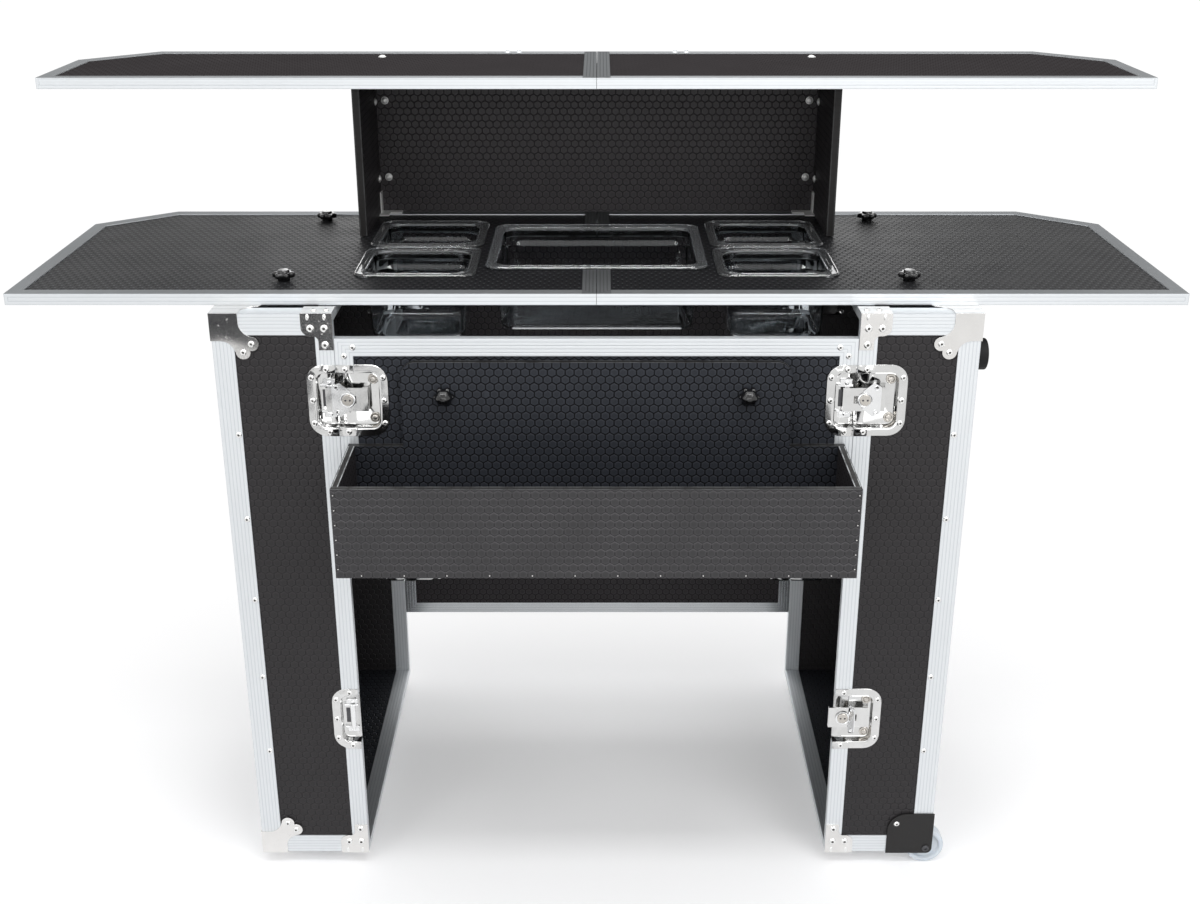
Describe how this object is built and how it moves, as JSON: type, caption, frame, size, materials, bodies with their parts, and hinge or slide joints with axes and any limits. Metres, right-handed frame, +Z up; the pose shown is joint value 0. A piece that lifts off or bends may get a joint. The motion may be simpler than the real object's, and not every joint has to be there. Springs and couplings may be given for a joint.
{
  "type": "mobile bar unit",
  "caption": "Take-apart flight-case bar: open case legs on wheels and feet, lower counter with drop-in clear pans, raised guest counter and a front bottle rail.",
  "frame": {"origin": "floor level, centred under the whole unit", "axes": "+X along the bar to the server's right, +Y from the server towards the guests, +Z up"},
  "size_m": [1.63, 0.7254, 1.183],
  "materials": {
    "black_ply": "textured",
    "aluminium": "satin",
    "plated_steel": "polished",
    "dark_steel": "satin",
    "black_plastic": "satin",
    "clear_plastic": "gloss",
    "wheel_plastic": "satin",
    "black_rubber": "matte"
  },
  "bodies": {
    "case": {"left_leg_edging": "aluminium", "right_leg_edging": "aluminium", "leg_face_boards": "black_ply", "leg_end_boards": "black_ply", "leg_caps": "black_ply", "rear_panel": "black_ply", "rear_panel_edging": "aluminium", "front_panel": "black_ply", "front_panel_edging": "aluminium", "steel_corners": "plated_steel", "corner_braces": "plated_steel", "case_rivets": "plated_steel", "castor_housings": "black_plastic", "castor_axles": "dark_steel", "end_bumpers": "black_rubber", "floor_feet": "black_rubber", "handle_dish": "plated_steel", "latch_keepers": "plated_steel", "latch_drives": "plated_steel", "knob_inserts": "dark_steel"},
    "wheel_front": {"castor_wheel_front": "wheel_plastic"},
    "wheel_rear": {"castor_wheel_rear": "wheel_plastic"},
    "handle": {"handle_grip": "black_plastic"},
    "wing_a": {"latch_wing_a": "plated_steel"},
    "hook_a": {"latch_hook_a": "plated_steel"},
    "wing_b": {"latch_wing_b": "plated_steel"},
    "hook_b": {"latch_hook_b": "plated_steel"},
    "wing_c": {"latch_wing_c": "plated_steel"},
    "hook_c": {"latch_hook_c": "plated_steel"},
    "wing_d": {"latch_wing_d": "plated_steel"},
    "hook_d": {"latch_hook_d": "plated_steel"},
    "wing_e": {"latch_wing_e": "plated_steel"},
    "hook_e": {"latch_hook_e": "plated_steel"},
    "wing_f": {"latch_wing_f": "plated_steel"},
    "hook_f": {"latch_hook_f": "plated_steel"},
    "wing_g": {"latch_wing_g": "plated_steel"},
    "hook_g": {"latch_hook_g": "plated_steel"},
    "rail": {"rail_back": "black_ply", "rail_front": "black_ply", "rail_ends": "black_ply", "rail_base": "black_ply"},
    "rail_knob_left": {"rail_knob_left": "black_plastic"},
    "rail_knob_right": {"rail_knob_right": "black_plastic"},
    "counter": {"counter_left": "black_ply", "counter_right": "black_ply", "counter_trims": "aluminium"},
    "knob_left_front": {"knob_left_front": "black_plastic"},
    "knob_left_rear": {"knob_left_rear": "black_plastic"},
    "knob_right_front": {"knob_right_front": "black_plastic"},
    "knob_right_rear": {"knob_right_rear": "black_plastic"},
    "pan_middle": {"pan_middle": "clear_plastic"},
    "pan_left_front": {"pan_left_front": "clear_plastic"},
    "pan_left_rear": {"pan_left_rear": "clear_plastic"},
    "pan_right_front": {"pan_right_front": "clear_plastic"},
    "pan_right_rear": {"pan_right_rear": "clear_plastic"},
    "riser": {"riser_back": "black_ply", "riser_sides": "black_ply", "riser_brackets": "plated_steel", "upper_boards": "black_ply", "upper_trims": "aluminium"}
  },
  "joints": [
    {"name": "wheel_front_spin", "type": "hinge", "parent": "case", "child": "wheel_front", "pos_m": [0.517, -0.18725, 0.03], "axis": [0, 1, 0], "continuous": true},
    {"name": "wheel_rear_spin", "type": "hinge", "parent": "case", "child": "wheel_rear", "pos_m": [0.517, 0.33375, 0.03], "axis": [0, 1, 0], "continuous": true},
    {"name": "handle_swing", "type": "hinge", "parent": "case", "child": "handle", "pos_m": [-0.51625, 0.07325, 0.6145], "axis": [0, 1, 0], "range_deg": [0, 90]},
    {"name": "latch_a_turn", "type": "hinge", "parent": "case", "child": "wing_a", "pos_m": [-0.345, -0.199, 0.7795], "axis": [0, -1, 0], "range_deg": [0, 180]},
    {"name": "latch_a_hook", "type": "slide", "parent": "case", "child": "hook_a", "axis": [1, 0, 0], "range_m": [-0.006, 0]},
    {"name": "latch_b_turn", "type": "hinge", "parent": "case", "child": "wing_b", "pos_m": [0.373, -0.199, 0.7795], "axis": [0, -1, 0], "range_deg": [0, 180]},
    {"name": "latch_b_hook", "type": "slide", "parent": "case", "child": "hook_b", "axis": [1, 0, 0], "range_m": [-0.006, 0]},
    {"name": "latch_c_turn", "type": "hinge", "parent": "case", "child": "wing_c", "pos_m": [0.373, -0.199, 0.2655], "axis": [0, -1, 0], "range_deg": [0, 180]},
    {"name": "latch_c_hook", "type": "slide", "parent": "case", "child": "hook_c", "axis": [1, 0, 0], "range_m": [-0.01, 0]},
    {"name": "latch_d_turn", "type": "hinge", "parent": "case", "child": "wing_d", "pos_m": [-0.345, 0.3455, 0.2655], "axis": [0, -1, 0], "range_deg": [0, 180]},
    {"name": "latch_d_hook", "type": "slide", "parent": "case", "child": "hook_d", "axis": [1, 0, 0], "range_m": [-0.006, 0]},
    {"name": "latch_e_turn", "type": "hinge", "parent": "case", "child": "wing_e", "pos_m": [0.373, 0.3455, 0.2655], "axis": [0, -1, 0], "range_deg": [0, 180]},
    {"name": "latch_e_hook", "type": "slide", "parent": "case", "child": "hook_e", "axis": [1, 0, 0], "range_m": [-0.006, 0]},
    {"name": "latch_f_turn", "type": "hinge", "parent": "case", "child": "wing_f", "pos_m": [-0.345, 0.3455, 0.7795], "axis": [0, -1, 0], "range_deg": [0, 180]},
    {"name": "latch_f_hook", "type": "slide", "parent": "case", "child": "hook_f", "axis": [1, 0, 0], "range_m": [-0.006, 0]},
    {"name": "latch_g_turn", "type": "hinge", "parent": "case", "child": "wing_g", "pos_m": [0.373, 0.3455, 0.7795], "axis": [0, -1, 0], "range_deg": [0, 180]},
    {"name": "latch_g_hook", "type": "slide", "parent": "case", "child": "hook_g", "axis": [1, 0, 0], "range_m": [-0.006, 0]},
    {"name": "rail_pull", "type": "slide", "parent": "case", "child": "rail", "axis": [0, -1, 0], "range_m": [0, 0.15]},
    {"name": "rail_knob_left_turn", "type": "hinge", "parent": "rail", "child": "rail_knob_left", "pos_m": [-0.21, -0.21575, 0.7905], "axis": [0, 1, 0], "continuous": true},
    {"name": "rail_knob_right_turn", "type": "hinge", "parent": "rail", "child": "rail_knob_right", "pos_m": [0.21, -0.21575, 0.7905], "axis": [0, 1, 0], "continuous": true},
    {"name": "counter_lift", "type": "slide", "parent": "case", "child": "counter", "axis": [0, 0, 1], "range_m": [0, 0.2]},
    {"name": "knob_left_front_turn", "type": "hinge", "parent": "counter", "child": "knob_left_front", "pos_m": [-0.444, -0.08875, 0.9255], "axis": [0, 0, 1], "continuous": true},
    {"name": "knob_left_rear_turn", "type": "hinge", "parent": "counter", "child": "knob_left_rear", "pos_m": [-0.444, 0.27525, 0.9255], "axis": [0, 0, 1], "continuous": true},
    {"name": "knob_right_front_turn", "type": "hinge", "parent": "counter", "child": "knob_right_front", "pos_m": [0.444, -0.08875, 0.9255], "axis": [0, 0, 1], "continuous": true},
    {"name": "knob_right_rear_turn", "type": "hinge", "parent": "counter", "child": "knob_right_rear", "pos_m": [0.444, 0.27525, 0.9255], "axis": [0, 0, 1], "continuous": true},
    {"name": "pan_middle_lift", "type": "slide", "parent": "counter", "child": "pan_middle", "axis": [0, 0, 1], "range_m": [0, 0.12]},
    {"name": "pan_left_front_lift", "type": "slide", "parent": "counter", "child": "pan_left_front", "axis": [0, 0, 1], "range_m": [0, 0.12]},
    {"name": "pan_left_rear_lift", "type": "slide", "parent": "counter", "child": "pan_left_rear", "axis": [0, 0, 1], "range_m": [0, 0.12]},
    {"name": "pan_right_front_lift", "type": "slide", "parent": "counter", "child": "pan_right_front", "axis": [0, 0, 1], "range_m": [0, 0.12]},
    {"name": "pan_right_rear_lift", "type": "slide", "parent": "counter", "child": "pan_right_rear", "axis": [0, 0, 1], "range_m": [0, 0.12]},
    {"name": "riser_lift", "type": "slide", "parent": "counter", "child": "riser", "axis": [0, 0, 1], "range_m": [0, 0.25]}
  ],
  "couplings": [
    {"joint": "latch_a_hook", "follows": "latch_a_turn", "m_per_rad": -0.0019098},
    {"joint": "latch_b_hook", "follows": "latch_b_turn", "m_per_rad": -0.0019098},
    {"joint": "latch_c_hook", "follows": "latch_c_turn", "m_per_rad": -0.003183},
    {"joint": "latch_d_hook", "follows": "latch_d_turn", "m_per_rad": -0.0019098},
    {"joint": "latch_e_hook", "follows": "latch_e_turn", "m_per_rad": -0.0019098},
    {"joint": "latch_f_hook", "follows": "latch_f_turn", "m_per_rad": -0.0019098},
    {"joint": "latch_g_hook", "follows": "latch_g_turn", "m_per_rad": -0.0019098}
  ]
}
